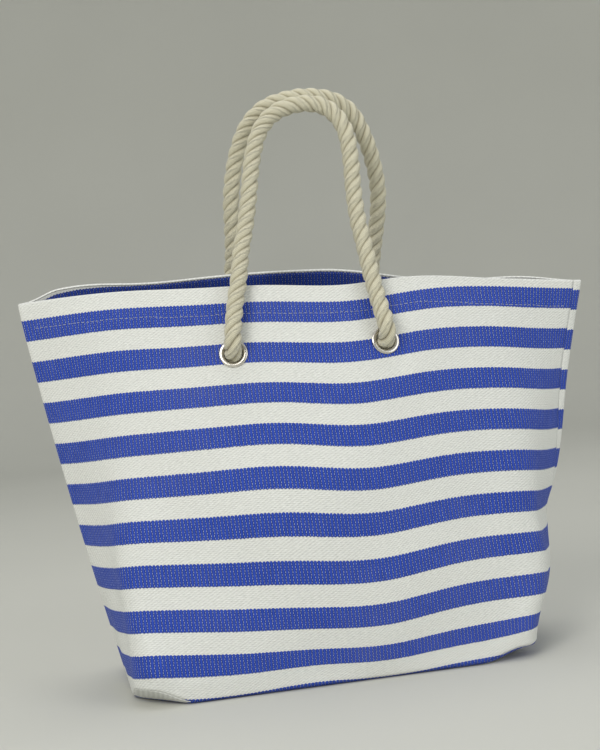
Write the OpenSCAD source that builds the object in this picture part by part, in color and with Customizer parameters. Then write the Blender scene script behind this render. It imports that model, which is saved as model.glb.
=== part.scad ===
// Striped beach bag with two rope handles. The bag stands on its flat boxed base.
// The origin is at the middle of the base's underside. +Z is up, +X runs along the
// mouth, and the front faces -Y. All sizes are in millimetres.

/* [Mouth] */
// Straight width across the mouth, from side seam to side seam
mouth_w = 524; // [500:2:540]
// Opening between the front rim and the back rim at the middle
mouth_gap = 72; // [64:2:84]
// How much lower the rim hangs at the side seams
rim_droop = 8; // [4:1:12]

/* [Base] */
// Length of the base along X
base_l = 370; // [350:2:390]
// Depth of the base from front to back
base_d = 180; // [170:2:190]
// Corner radius of the base
base_r = 24; // [18:1:30]

/* [Walls] */
// Height of the rim above the floor at the middle
bag_h = 360; // [340:2:380]
// Thickness of the woven cloth
cloth_t = 1.6; // [1.2:0.1:2]
// How far the wall swells out at half height
belly = 12; // [6:1:18]

/* [Hem] */
// Depth of the cloth that is turned in at the rim
hem_d = 25; // [22:1:28]
// Distance of the stitched line below the rim
stitch_drop = 22; // [19:1:24]

/* [Eyelets] */
// Distance between the two eyelets of one wall, centre to centre
eyelet_gap = 136; // [130:2:142]
// Clear bore of an eyelet
eyelet_bore = 17; // [16.8:0.1:17.6]
// Outer diameter of an eyelet's rolled flange
eyelet_od = 25.5; // [24.5:0.1:27]

/* [Handles] */
// Diameter of the three-strand rope
rope_d = 16; // [14:0.5:16]
// Diameter of the knot behind each eyelet
knot_d = 35; // [30:1:38]

/* [Hidden] */

// Half sizes of the mouth and of the base
mouth_x = mouth_w / 2;
mouth_y = mouth_gap / 2;
base_x = base_l / 2;
base_y = base_d / 2;
corner_len = PI / 2 * base_r;
base_run = base_x + base_y - 2 * base_r + corner_len;

// The wall meets the two side seams this far from the plane between front and back
seam_y = 0.05;
// Powers that set how the mouth's outline turns into the base's outline on the way down
outline_power = 1.1;
depth_power = 1.6;

// Columns across half a panel, and rows down it, as shares of the panel
COLS = 20;
ROWS = 11;
hem_row = hem_d / (bag_h - cloth_t);
panel_rows = concat([0], [for (k = [0 : ROWS]) hem_row + (1 - hem_row) * k / ROWS]);
panel_cols = [for (i = [-COLS : COLS]) i / COLS];
// The turned-in hem stops short of the side seams, where there is no room for it
hem_cols = [for (i = [1 - COLS : COLS - 1]) i / COLS];

// Point of the base's outline at share s of the way from the middle to the side seam,
// for a quarter where x is above 0 and y is below 0
function base_pt(s) =
    let (run = s * base_run, flat = base_x - base_r)
    run < flat ? [run, -base_y]
    : run < flat + corner_len
        ? let (a = (run - flat) / base_r * 180 / PI)
          [flat + base_r * sin(a), -base_y + base_r * (1 - cos(a))]
    : [base_x, -base_y + base_r + run - flat - corner_len];

// Outer face of the front wall: v runs from -1 to 1 between the side seams, and t from 0
// at the rim to 1 at the base
function wall(v, t) =
    let (
        w = pow(t, outline_power),
        d = mouth_y + (base_y - mouth_y) * (1 - pow(1 - t, depth_power)),
        b = base_pt(abs(v)),
        x = (1 - w) * mouth_x * abs(v) + w * b.x,
        y = (1 - w) * (cloth_t + d * cos(90 * v)) - w * d * b.y / base_y
            + belly * sin(180 * t) * pow(cos(90 * v), 2)
    )
    [sign(v) * x, -y, cloth_t + (bag_h - cloth_t) * (1 - t)
        - rim_droop * v * v * pow(1 - t, 2)];

// The same point moved inward by depth, level with the floor
function wall_in(v, t, depth) =
    let (
        e = 0.004,
        p = wall(v, t),
        q = wall(min(v + e, 1), t) - wall(max(v - e, -1), t),
        n = [-q.y, q.x] / norm([q.x, q.y])
    )
    [p.x + n.x * depth, min(p.y + n.y * depth, -seam_y), p.z];

function unit(a) = a / norm(a);
function crossing(a, b) = unit(cross(a, b));

// Closed sheet between two equal grids of points, each a list of rows
module sheet(outer, inner) {
    rows = len(outer);
    cols = len(outer[0]);
    n = rows * cols;
    points = concat([for (r = outer) each r], [for (r = inner) each r]);
    function quad(a, b, c, d) = [[a, b, c], [a, c, d]];
    polyhedron(points, concat(
        [for (j = [0 : rows - 2], i = [0 : cols - 2])
            each quad(j * cols + i, (j + 1) * cols + i,
                      (j + 1) * cols + i + 1, j * cols + i + 1)],
        [for (j = [0 : rows - 2], i = [0 : cols - 2])
            each quad(n + j * cols + i, n + j * cols + i + 1,
                      n + (j + 1) * cols + i + 1, n + (j + 1) * cols + i)],
        [for (i = [0 : cols - 2]) each quad(i, i + 1, n + i + 1, n + i)],
        [for (i = [0 : cols - 2])
            each quad((rows - 1) * cols + i, n + (rows - 1) * cols + i,
                      n + (rows - 1) * cols + i + 1, (rows - 1) * cols + i + 1)],
        [for (j = [0 : rows - 2])
            each quad(j * cols, n + j * cols, n + (j + 1) * cols, (j + 1) * cols)],
        [for (j = [0 : rows - 2])
            each quad(j * cols + cols - 1, (j + 1) * cols + cols - 1,
                      n + (j + 1) * cols + cols - 1, n + j * cols + cols - 1)]
    ), convexity = 8);
}

// Band of the front wall between two depths below its outer face
module wall_band(rows, cols, from, to)
    sheet([for (t = rows) [for (v = cols) wall_in(v, t, from)]],
          [for (t = rows) [for (v = cols) wall_in(v, t, to)]]);

// The eyelets' place on the front wall, right of the middle, and the wall's outward normal
eyelet_v = eyelet_gap / mouth_w;
eyelet_t = 67 / bag_h;
eyelet_at = wall(eyelet_v, eyelet_t);
eyelet_n = crossing(
    wall(eyelet_v + 0.002, eyelet_t) - wall(eyelet_v - 0.002, eyelet_t),
    wall(eyelet_v, eyelet_t - 0.002) - wall(eyelet_v, eyelet_t + 0.002)
);
eyelet_tilt = asin(eyelet_n.z);
eyelet_turn = atan2(eyelet_n.y, eyelet_n.x);

// Eyelet sizes along its own axis, with 0 at the cloth's outer face
flange_h = 1.8;
flange_gap = 0.15;
tube_t = 0.6;
washer_gap = 0.4;
washer_t = 1.1;
bore_r = eyelet_bore / 2;
tube_r = bore_r + tube_t;
washer_top = -cloth_t - washer_gap;
tube_end = washer_top - washer_t;

// Puts its children at an eyelet: side is -1 for left and 1 for right, and face is -1 for
// the front and 1 for the back. Their own +Z points out of the bag and +X points down.
module at_eyelet(side, face)
    mirror([side < 0 ? 1 : 0, 0, 0]) mirror([0, face > 0 ? 1 : 0, 0])
        translate(eyelet_at) rotate([0, 90 - eyelet_tilt, eyelet_turn]) children();

module back() mirror([0, 1, 0]) children();

module front_wall() difference() {
    wall_band(panel_rows, panel_cols, 0, cloth_t);
    for (side = [-1, 1]) at_eyelet(side, -1)
        translate([0, 0, -8]) cylinder(r = tube_r + 0.2, h = 16, $fn = 48);
}
module front_panel() color("royalblue") front_wall();
module back_panel() color("royalblue") back() front_wall();

// The base is flat cloth, cut to the outline of the walls
module base_panel() color("ivory") linear_extrude(cloth_t) union() {
    square([base_l - 2 * base_r, base_d], center = true);
    square([base_l, base_d - 2 * base_r], center = true);
    for (sx = [-1, 1], sy = [-1, 1])
        translate([sx * (base_x - base_r), sy * (base_y - base_r)])
            circle(r = base_r, $fn = 72);
}

// Cloth turned in at the rim
module hem() wall_band([0, hem_row], hem_cols, cloth_t, 2 * cloth_t);
module front_hem() color("midnightblue") hem();
module back_hem() color("midnightblue") back() hem();

// Stitched line that holds the hem, standing just proud of the outer face and clear of it
thread_w = 0.8;
thread_h = 0.5;
thread_lift = 0.08;
thread_rows = [
    (stitch_drop - thread_w / 2) / (bag_h - cloth_t),
    (stitch_drop + thread_w / 2) / (bag_h - cloth_t)
];
module hem_thread() wall_band(thread_rows, hem_cols, -thread_h, -thread_lift);
module front_hem_thread() color("white") hem_thread();
module back_hem_thread() color("white") back() hem_thread();

// Seam allowance that stands inside the bag along a side seam
seam_w = 9;
seam_t = 1.2;
seam_inset = 4.5;
seam_rows = [for (k = [0 : 10]) hem_row + 0.02 + (0.955 - hem_row) * k / 10];
module side_seam() sheet(
    [for (t = seam_rows) let (p = wall_in(1, t, cloth_t))
        [[p.x - seam_inset - seam_w, -seam_t / 2, p.z], [p.x - seam_inset, -seam_t / 2, p.z]]],
    [for (t = seam_rows) let (p = wall_in(1, t, cloth_t))
        [[p.x - seam_inset - seam_w, seam_t / 2, p.z], [p.x - seam_inset, seam_t / 2, p.z]]]
);
module left_side_seam() color("ivory") mirror([1, 0, 0]) side_seam();
module right_side_seam() color("ivory") side_seam();

// Seam allowance of the boxed corners, lying on the base along its short ends
corner_seam_w = 10;
corner_seam_h = 2.4;
module corner_seam() translate([base_x - cloth_t - 1 - corner_seam_w, 0, cloth_t])
    linear_extrude(corner_seam_h) {
        translate([0, -base_y + base_r + 4])
            square([corner_seam_w, base_d - 2 * base_r - 8]);
        for (s = [-1, 1]) translate([corner_seam_w / 2, s * (base_y - base_r - 4)])
            circle(d = corner_seam_w, $fn = 36);
    }
module left_corner_seam() color("ivory") mirror([1, 0, 0]) corner_seam();
module right_corner_seam() color("ivory") corner_seam();

// Rolled flange outside, tube through the cloth, and a rolled end behind the washer
module eyelet() color("silver") rotate_extrude($fn = 64) {
    translate([bore_r, tube_end]) square([tube_t, flange_h / 2 + flange_gap - tube_end]);
    intersection() {
        translate([(bore_r + eyelet_od / 2) / 2, flange_gap]) scale([1, 1]) union() {
            square([(eyelet_od / 2 - bore_r) - flange_h, 2 * flange_h], center = true);
            for (s = [-1, 1])
                translate([s * ((eyelet_od / 2 - bore_r) / 2 - flange_h), 0])
                    circle(r = flange_h, $fn = 48);
        }
        translate([bore_r, flange_gap]) square([eyelet_od / 2 - bore_r, flange_h]);
    }
    translate([bore_r + 1, tube_end - 1]) circle(r = 1, $fn = 32);
    translate([bore_r, tube_end - 1]) square([tube_t, 1.2]);
}

// Flat ring inside the bag that the eyelet's tube is rolled over
module washer() color("silver") rotate_extrude($fn = 64)
    translate([tube_r + 0.1, washer_top - washer_t])
        square([eyelet_od / 2 - tube_r - 0.1, washer_t - 0.1]);

module front_left_eyelet() at_eyelet(-1, -1) eyelet();
module front_right_eyelet() at_eyelet(1, -1) eyelet();
module back_left_eyelet() at_eyelet(-1, 1) eyelet();
module back_right_eyelet() at_eyelet(1, 1) eyelet();
module front_left_washer() at_eyelet(-1, -1) washer();
module front_right_washer() at_eyelet(1, -1) washer();
module back_left_washer() at_eyelet(-1, 1) washer();
module back_right_washer() at_eyelet(1, 1) washer();

// The rope's end: the length through the eyelet, the knot that stops it and a short tail.
// It stays with the bag, and the handle above swings on it.
knot_top = tube_end - 2.4;
knot_h = 27;
tail_l = 46;
module rope_end() color("antiquewhite") {
    translate([0, 0, knot_top - 4])
        cylinder(d = rope_d - 0.2, h = 4 - knot_top + 1.4, $fn = 48);
    translate([0, 0, knot_top - knot_h]) rotate_extrude($fn = 64) {
        square([knot_d / 2 - knot_h / 4, knot_h]);
        translate([0, knot_h / 4]) square([knot_d / 2, knot_h / 2]);
        for (z = [knot_h / 4, knot_h * 3 / 4])
            translate([knot_d / 2 - knot_h / 4, z]) circle(r = knot_h / 4, $fn = 48);
    }
    translate([0, 0, knot_top - knot_h / 2]) rotate([0, 90, 0])
        cylinder(d = rope_d, h = tail_l, $fn = 48);
}
module front_left_rope_end() at_eyelet(-1, -1) rope_end();
module front_right_rope_end() at_eyelet(1, -1) rope_end();
module back_left_rope_end() at_eyelet(-1, 1) rope_end();
module back_right_rope_end() at_eyelet(1, 1) rope_end();

// Each handle's route from its left hinge point, outside the eyelet, to its right one.
// Both handles lean a little to the right, and the back one is wider and taller.
front_route = [
    [-69.5, -64.8, 295.8], [-67.5, -59, 313], [-63.5, -53.2, 332], [-60, -49, 346],
    [-56.5, -44.9, 360], [-52.5, -38.8, 381], [-46, -33, 405], [-40.7, -28.4, 429],
    [-36.5, -24.5, 452], [-31.5, -20.8, 473], [-23, -16.8, 493], [-9, -13.8, 507],
    [14, -12.6, 514], [34, -13.2, 511.5], [46.5, -15.2, 502], [54, -18.6, 486],
    [56.2, -23, 460], [55.4, -28, 431], [56.2, -33.5, 403], [58.8, -38.8, 381],
    [61, -44.8, 360], [62.5, -49, 346], [64.5, -53.2, 332], [67.5, -59, 313],
    [69.5, -64.8, 295.8]
];
back_route = [
    [-69.5, 64.8, 295.8], [-67.5, 59, 313], [-63.5, 53.2, 332], [-60, 49, 346],
    [-57, 44.9, 360], [-54, 38.8, 381], [-52.6, 32, 408], [-51.8, 27.6, 433],
    [-48.6, 23.8, 456], [-42.5, 19.4, 479], [-32, 15.3, 501], [-16, 12.2, 516],
    [6, 10.7, 523], [28, 10.5, 524.2], [50, 11.4, 519.5], [66, 13.8, 508],
    [77, 18, 488], [84.5, 22.3, 464], [88.4, 26.8, 437], [87, 31, 413],
    [82.5, 37, 386], [78.5, 43.2, 360], [76, 47.8, 346], [73.5, 52.5, 332],
    [71, 58.8, 313], [69.5, 64.8, 295.8]
];
ROPE_SIDES = 12;
ROPE_STEPS = 3;

// Point at share u between b and c on a smooth curve that passes a, b, c and d
function on_curve(a, b, c, d, u) =
    (2 * b + (c - a) * u + (2 * a - 5 * b + 4 * c - d) * u * u
        + (3 * b - a - 3 * c + d) * u * u * u) / 2;
function smooth_route(p) = let (n = len(p)) concat(
    [for (i = [0 : n - 2], k = [0 : ROPE_STEPS - 1])
        on_curve(p[max(i - 1, 0)], p[i], p[i + 1], p[min(i + 2, n - 1)], k / ROPE_STEPS)],
    [p[n - 1]]
);
// Ring of points round the route at point c, where the route runs along d
function ring(c, d, r) =
    let (e = crossing(d, [0, 1, 0]), f = cross(e, d))
    [for (k = [0 : ROPE_SIDES - 1])
        c + r * (cos(k * 360 / ROPE_SIDES) * e + sin(k * 360 / ROPE_SIDES) * f)];

// Rope swept along a route, with rounded ends that turn on the hinge line
module rope(route) {
    path = smooth_route(route);
    n = len(path);
    r = rope_d / 2;
    start = unit(path[1] - path[0]);
    stop = unit(path[n - 1] - path[n - 2]);
    caps = [75, 50, 25];
    rings = concat(
        [for (a = caps) ring(path[0] - start * r * sin(a), start, r * cos(a))],
        [for (i = [0 : n - 1])
            ring(path[i], unit(path[min(i + 1, n - 1)] - path[max(i - 1, 0)]), r)],
        [for (i = [2 : -1 : 0])
            ring(path[n - 1] + stop * r * sin(caps[i]), stop, r * cos(caps[i]))]
    );
    m = len(rings);
    s = ROPE_SIDES;
    polyhedron(
        [for (r = rings) each r],
        concat(
            [[for (k = [0 : s - 1]) k]],
            [for (j = [0 : m - 2], k = [0 : s - 1]) let (l = (k + 1) % s)
                each [[j * s + k, (j + 1) * s + k, (j + 1) * s + l],
                      [j * s + k, (j + 1) * s + l, j * s + l]]],
            [[for (k = [s - 1 : -1 : 0]) (m - 1) * s + k]]
        ),
        convexity = 8
    );
}
module front_handle() color("antiquewhite") rope(front_route);
module back_handle() color("antiquewhite") rope(back_route);

front_panel();
back_panel();
base_panel();
front_hem();
back_hem();
front_hem_thread();
back_hem_thread();
left_side_seam();
right_side_seam();
left_corner_seam();
right_corner_seam();
front_left_eyelet();
front_right_eyelet();
back_left_eyelet();
back_right_eyelet();
front_left_washer();
front_right_washer();
back_left_washer();
back_right_washer();
front_left_rope_end();
front_right_rope_end();
back_left_rope_end();
back_right_rope_end();
front_handle();
back_handle();
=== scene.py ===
"""Striped beach bag with two rope handles, made of woven cloth, rope and nickel eyelets."""
import math

import bmesh
import bpy
import numpy as np
from bpy.props import FloatProperty, FloatVectorProperty, PointerProperty
from mathutils import Matrix, Vector


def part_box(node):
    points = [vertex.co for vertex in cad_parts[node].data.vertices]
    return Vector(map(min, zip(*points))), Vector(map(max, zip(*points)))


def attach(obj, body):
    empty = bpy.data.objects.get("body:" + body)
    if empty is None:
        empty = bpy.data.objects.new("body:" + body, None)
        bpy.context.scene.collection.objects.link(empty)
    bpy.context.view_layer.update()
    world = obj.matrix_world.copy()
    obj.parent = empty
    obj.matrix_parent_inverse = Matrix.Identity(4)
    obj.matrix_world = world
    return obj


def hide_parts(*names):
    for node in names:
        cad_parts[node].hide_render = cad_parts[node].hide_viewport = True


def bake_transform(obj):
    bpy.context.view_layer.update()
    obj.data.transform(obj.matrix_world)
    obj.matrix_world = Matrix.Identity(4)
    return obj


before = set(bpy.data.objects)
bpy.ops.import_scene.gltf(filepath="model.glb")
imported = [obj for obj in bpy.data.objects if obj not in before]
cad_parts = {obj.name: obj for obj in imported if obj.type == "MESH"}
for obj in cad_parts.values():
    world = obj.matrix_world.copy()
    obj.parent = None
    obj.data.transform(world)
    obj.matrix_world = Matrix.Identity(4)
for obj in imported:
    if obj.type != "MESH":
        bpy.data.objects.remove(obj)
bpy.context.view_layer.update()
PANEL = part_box("front_panel")
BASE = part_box("base_panel")

bl_info = {
    "name": "Striped beach bag",
    "version": (1, 0, 0),
    "blender": (4, 5, 0),
    "location": "3D View > Sidebar > Beach bag",
    "description": "Makes a striped woven beach bag with two rope handles",
    "category": "Add Mesh",
}

MM = 0.001               # one millimetre; the lengths below are in millimetres unless they say otherwise
CLOTH_T = 1.6            # thickness of the woven cloth
SEAM_WRAP = 0.034        # how far the back cloth comes round the right fold, as a share
FOLD_ROUND = 0.012       # share of the half width over which a side fold is rounded
EYELET_T = 67 / 360      # height of the eyelets on the wall, as a share from the rim down
BORE_R = 8.5
FLANGE_R = 12.75
TUBE_R = 9.1
HOLE_R = 9.9
ROPE_EXIT = 5.5          # how deep behind the cloth the rope leaves its knot
RIGHT_TUCK = 12.0        # how far the right side is drawn in at the base
SEAM_STEP = 1.6          # how much lower the back cloth's stripes lie than the front's
CORNER_TUCK = 14.0       # how high the front left corner of the base is folded up
RIGHT_LIFT = 10.0        # and its front right corner
BEND_R = 12.0            # radius of the rope's turn out of an eyelet
HALF_WIDTH = 262         # length of cloth from the middle of a wall to its fold
WALL_RUN = 358           # height of a wall above the base, over which a share t runs
EYELET_GAP = 136         # between the centres of a wall's two eyelets
FLAT_X = 68.1            # middle of the flat cloth round an eyelet, from the wall's middle
CORNER_R = 24.0          # rounding of the base's corners, seen from above
BASE_END = 185 - 2.6     # from the middle of the base to its end, less the seam
HEM_DEPTH = 25           # height of the turned-in hem
HEM_END = 0.95           # where a hem stops, as a share of the half width
STITCH_END = 0.955       # and where its stitching stops, as the same share
STITCH_DROP = 23.6       # how far the hem stitching lies below the rim
EDGE_DOWN = 366          # length of cloth from the rim to the bottom edge
BASE_HALF = 90           # half the depth of the base
UNDYED_AT = 345          # a place in an undyed stripe, measured down from the rim
DYED_AT = 368            # and one in a dyed stripe

# The handles' centre lines between their hinge points, in metres, from left to right
FRONT_ROUTE = [
    (-0.0695, -0.0648, 0.2958), (-0.0675, -0.0590, 0.3130), (-0.0635, -0.0532, 0.3320),
    (-0.0600, -0.0490, 0.3460), (-0.0565, -0.0449, 0.3600), (-0.0525, -0.0388, 0.3810),
    (-0.0460, -0.0330, 0.4050), (-0.0407, -0.0284, 0.4290), (-0.0365, -0.0245, 0.4520),
    (-0.0315, -0.0208, 0.4730), (-0.0230, -0.0168, 0.4930), (-0.0090, -0.0138, 0.5070),
    (0.0140, -0.0126, 0.5140), (0.0340, -0.0132, 0.5115), (0.0465, -0.0152, 0.5020),
    (0.0540, -0.0186, 0.4860), (0.0562, -0.0230, 0.4600), (0.0554, -0.0280, 0.4310),
    (0.0562, -0.0335, 0.4030), (0.0588, -0.0388, 0.3810), (0.0610, -0.0448, 0.3600),
    (0.0625, -0.0490, 0.3460), (0.0645, -0.0532, 0.3320), (0.0675, -0.0590, 0.3130),
    (0.0695, -0.0648, 0.2958),
]
BACK_ROUTE = [
    (-0.0695, 0.0648, 0.2958), (-0.0675, 0.0590, 0.3130), (-0.0635, 0.0532, 0.3320),
    (-0.0600, 0.0490, 0.3460), (-0.0570, 0.0449, 0.3600), (-0.0540, 0.0388, 0.3810),
    (-0.0526, 0.0320, 0.4080), (-0.0518, 0.0276, 0.4330), (-0.0486, 0.0238, 0.4560),
    (-0.0425, 0.0194, 0.4790), (-0.0320, 0.0153, 0.5010), (-0.0160, 0.0122, 0.5160),
    (0.0060, 0.0107, 0.5230), (0.0280, 0.0105, 0.5242), (0.0500, 0.0114, 0.5195),
    (0.0660, 0.0138, 0.5080), (0.0770, 0.0180, 0.4880), (0.0845, 0.0223, 0.4640),
    (0.0884, 0.0268, 0.4370), (0.0870, 0.0310, 0.4130), (0.0825, 0.0370, 0.3860),
    (0.0785, 0.0432, 0.3600), (0.0760, 0.0478, 0.3460), (0.0735, 0.0525, 0.3320),
    (0.0710, 0.0588, 0.3130), (0.0695, 0.0648, 0.2958),
]


# ---------------------------------------------------------------- user settings
class BagCloth(bpy.types.PropertyGroup):
    """Sizes of the cloth body"""
    mouth_width: FloatProperty(
        name="Mouth width", description="Width across the mouth, fold to fold",
        default=PANEL[1].x - PANEL[0].x, min=0.3, max=0.8, unit="LENGTH", subtype="DISTANCE")
    mouth_gap: FloatProperty(
        name="Mouth gap", description="Opening between the two rims at the middle",
        default=0.072, min=0.02, max=0.2, unit="LENGTH", subtype="DISTANCE")
    base_length: FloatProperty(
        name="Base length", description="Length of the flat base",
        default=BASE[1].x - BASE[0].x, min=0.2, max=0.6, unit="LENGTH", subtype="DISTANCE")
    base_depth: FloatProperty(
        name="Base depth", description="Depth of the flat base from front to back",
        default=BASE[1].y - BASE[0].y, min=0.1, max=0.3, unit="LENGTH", subtype="DISTANCE")
    height: FloatProperty(
        name="Wall height", description="Height of the rim above the floor",
        default=PANEL[1].z, min=0.2, max=0.6, unit="LENGTH", subtype="DISTANCE")
    belly: FloatProperty(
        name="Belly", description="How far a wall swells out at half height",
        default=0.012, min=0.0, max=0.03, unit="LENGTH", subtype="DISTANCE")
    rim_droop: FloatProperty(
        name="Rim droop", description="How much lower the rim hangs at the side folds",
        default=0.008, min=0.0, max=0.03, unit="LENGTH", subtype="DISTANCE")
    floor_edge: FloatProperty(
        name="Bottom edge radius", description="Rounding where the walls turn into the base",
        default=0.005, min=0.002, max=0.02, unit="LENGTH", subtype="DISTANCE")
    twist: FloatProperty(
        name="Base twist", description="How far the base has turned against the mouth",
        default=math.radians(3.5), min=0.0, max=0.2, unit="ROTATION", subtype="ANGLE")
    mesh_step: FloatProperty(
        name="Mesh step", description="Size of one face of the cloth mesh",
        default=0.0032, min=0.002, max=0.01, unit="LENGTH", subtype="DISTANCE")


class BagStripes(bpy.types.PropertyGroup):
    """Woven stripes and their colours"""
    pitch: FloatProperty(
        name="Stripe repeat", description="Height of one blue and one white stripe",
        default=0.0381, min=0.01, max=0.1, unit="LENGTH", subtype="DISTANCE")
    first: FloatProperty(
        name="First stripe", description="Distance from the rim to the first blue stripe",
        default=0.015, min=0.0, max=0.1, unit="LENGTH", subtype="DISTANCE")
    rib: FloatProperty(
        name="Rib width", description="Width of one rib of the weave",
        default=0.0031, min=0.001, max=0.01, unit="LENGTH", subtype="DISTANCE")
    blue: FloatVectorProperty(
        name="Dyed yarn", description="Colour of the blue yarn",
        default=(0.022, 0.062, 0.42), size=3, min=0, max=1, subtype="COLOR")
    white: FloatVectorProperty(
        name="Undyed yarn", description="Colour of the white yarn",
        default=(0.80, 0.81, 0.78), size=3, min=0, max=1, subtype="COLOR")
    glint: FloatVectorProperty(
        name="Warp glint", description="Colour of the pale warp that shows between blue ribs",
        default=(0.72, 0.82, 1.0), size=3, min=0, max=1, subtype="COLOR")


class BagRope(bpy.types.PropertyGroup):
    """Rope of the handles"""
    diameter: FloatProperty(
        name="Rope diameter", description="Thickness over the three strands",
        default=0.016, min=0.006, max=0.016, unit="LENGTH", subtype="DISTANCE")
    lay: FloatProperty(
        name="Lay length", description="Length of one full turn of the strands",
        default=0.036, min=0.02, max=0.08, unit="LENGTH", subtype="DISTANCE")
    tail: FloatProperty(
        name="Tail length", description="Length of rope that is left below a knot",
        default=0.030, min=0.01, max=0.05, unit="LENGTH", subtype="DISTANCE")
    colour: FloatVectorProperty(
        name="Rope colour", description="Colour of the cotton",
        default=(0.76, 0.72, 0.55), size=3, min=0, max=1, subtype="COLOR")


class BagMetal(bpy.types.PropertyGroup):
    """Eyelets and washers"""
    colour: FloatVectorProperty(
        name="Nickel colour", description="Colour of the plating",
        default=(0.74, 0.71, 0.66), size=3, min=0, max=1, subtype="COLOR")
    roll: FloatProperty(
        name="Flange height", description="How far the rolled flange stands proud",
        default=0.0015, min=0.0005, max=0.003, unit="LENGTH", subtype="DISTANCE")


class BagStage(bpy.types.PropertyGroup):
    """Floor, light and camera"""
    floor_colour: FloatVectorProperty(
        name="Floor colour", description="Colour of the floor and backdrop",
        default=(0.62, 0.62, 0.57), size=3, min=0, max=1, subtype="COLOR")
    key_power: FloatProperty(
        name="Key light", description="Power of the main light in watts",
        default=43.0, min=0.0, max=500.0, unit="POWER")
    fill_power: FloatProperty(
        name="Fill light", description="Power of the light opposite the main one, in watts",
        default=18.0, min=0.0, max=500.0, unit="POWER")
    top_power: FloatProperty(
        name="Top light", description="Power of the overhead light in watts",
        default=14.0, min=0.0, max=500.0, unit="POWER")


class BagSettings(bpy.types.PropertyGroup):
    """All settings of the beach bag"""
    cloth: PointerProperty(type=BagCloth)
    stripes: PointerProperty(type=BagStripes)
    rope: PointerProperty(type=BagRope)
    metal: PointerProperty(type=BagMetal)
    stage: PointerProperty(type=BagStage)


def settings():
    return bpy.context.scene.beach_bag


# ---------------------------------------------------------------- cloth shape
def ease(x):
    x = np.clip(x, 0, 1)
    return x * x * (3 - 2 * x)


def hump(x, centre, width):
    return np.exp(-(((x - centre) / width) ** 2))


def unit(a):
    return a / np.maximum(np.linalg.norm(a, axis=-1, keepdims=True), 1e-12)


def base_outline(share):
    """Quarter of the base's outline, from the middle of a long side to a short side's."""
    cloth = settings().cloth
    bx, by, r = cloth.base_length / MM / 2, cloth.base_depth / MM / 2, CORNER_R
    corner = math.pi / 2 * r
    run = share * (bx + by - 2 * r + corner)
    flat = bx - r
    a = np.clip((run - flat) / r, 0, math.pi / 2)
    past = np.maximum(run - flat - corner, 0)
    return np.minimum(run, flat) + r * np.sin(a), -by + r * (1 - np.cos(a)) + past


def fold_of(c):
    """Share v of the half width, from -1 to 1, and the side, -1 front and 1 back."""
    back = (c > 1) | (c < -1)
    v = np.where(c > 1, 2 - c, np.where(c < -1, -2 - c, c))
    return v, np.where(back, 1.0, -1.0)


def plain_wall(v, t):
    """The sewn shape before it sags: x, y outward and z, in millimetres."""
    cloth = settings().cloth
    mx, my = cloth.mouth_width / MM / 2, cloth.mouth_gap / MM / 2
    by, h = cloth.base_depth / MM / 2, cloth.height / MM
    w = t ** 1.1
    d = my + (by - my) * (1 - (1 - t) ** 1.6)
    ox, oy = base_outline(np.abs(v))
    quarter = np.cos(math.pi / 2 * v)
    x = np.sign(v) * ((1 - w) * mx * np.abs(v) + w * ox)
    y = (1 - w) * (CLOTH_T + d * quarter) - w * d * oy / by
    y = y + cloth.belly / MM * np.sin(math.pi * t) * quarter ** 2
    z = CLOTH_T + (h - CLOTH_T) * (1 - t) - cloth.rim_droop / MM * v * v * (1 - t) ** 2
    return x, y, z


FRONT_SAGS = [
    # slip up the wall in mm, place across and place down
    (-8, -0.32, 0.12), (-12, 0.12, 0.12), (3, -0.72, 0.78), (4, 0.75, 0.92), (2, -0.75, 0.35),
]


def slide(v, side, t):
    """How far the cloth has slipped up along the sewn shape, in millimetres."""
    t = np.clip(t, 0, 1)
    front = -13 * ease((v - 0.2) / 0.8) * (1 - t) ** 2.5
    front = front - 8 * ease((v - 0.25) / 0.45) * np.exp(-t / 0.06)
    for height, across, down in FRONT_SAGS:
        front = front + height * hump(v, across, 0.28) * hump(t, down, 0.22)
    front = front - 6 * hump(v, 0.2, 0.3) * hump(t, 0, 0.13)
    back = 6 * hump(v, -0.2, 0.5) + 9 * hump(v, -0.80, 0.22) - 3 * hump(v, 0.6, 0.25)
    back = back * np.exp(-t / 0.25)
    back = back - 12 * ease((v - 0.1) / 0.5) * np.exp(-t / 0.3)
    start = np.where(v < 0, 0.86, 0.70)
    back = back + (front - back) * ease((np.abs(v) - start) / (1 - start))
    return np.where(side < 0, front, back) * ease((1 - t) / 0.12)


def near_eyelet(v, t):
    """1 beside an eyelet and 0 away from it, so that the cloth lies flat under the metal."""
    across = (np.abs(v) - FLAT_X / HALF_WIDTH) * HALF_WIDTH
    down = (t - EYELET_T) * WALL_RUN
    return np.exp(-((across ** 2 + down ** 2) / 28 ** 2) ** 2)


RIPPLES = [
    # height in mm, waves across and down, phase
    (0.9, 1.3, 0.8, 0.4), (0.7, 2.1, -1.1, 1.9), (0.55, 3.4, 1.7, 4.1),
    (0.4, 4.6, -2.3, 2.7), (0.35, 1.1, 3.2, 5.2), (0.25, 6.3, 2.2, 0.9),
]


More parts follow.
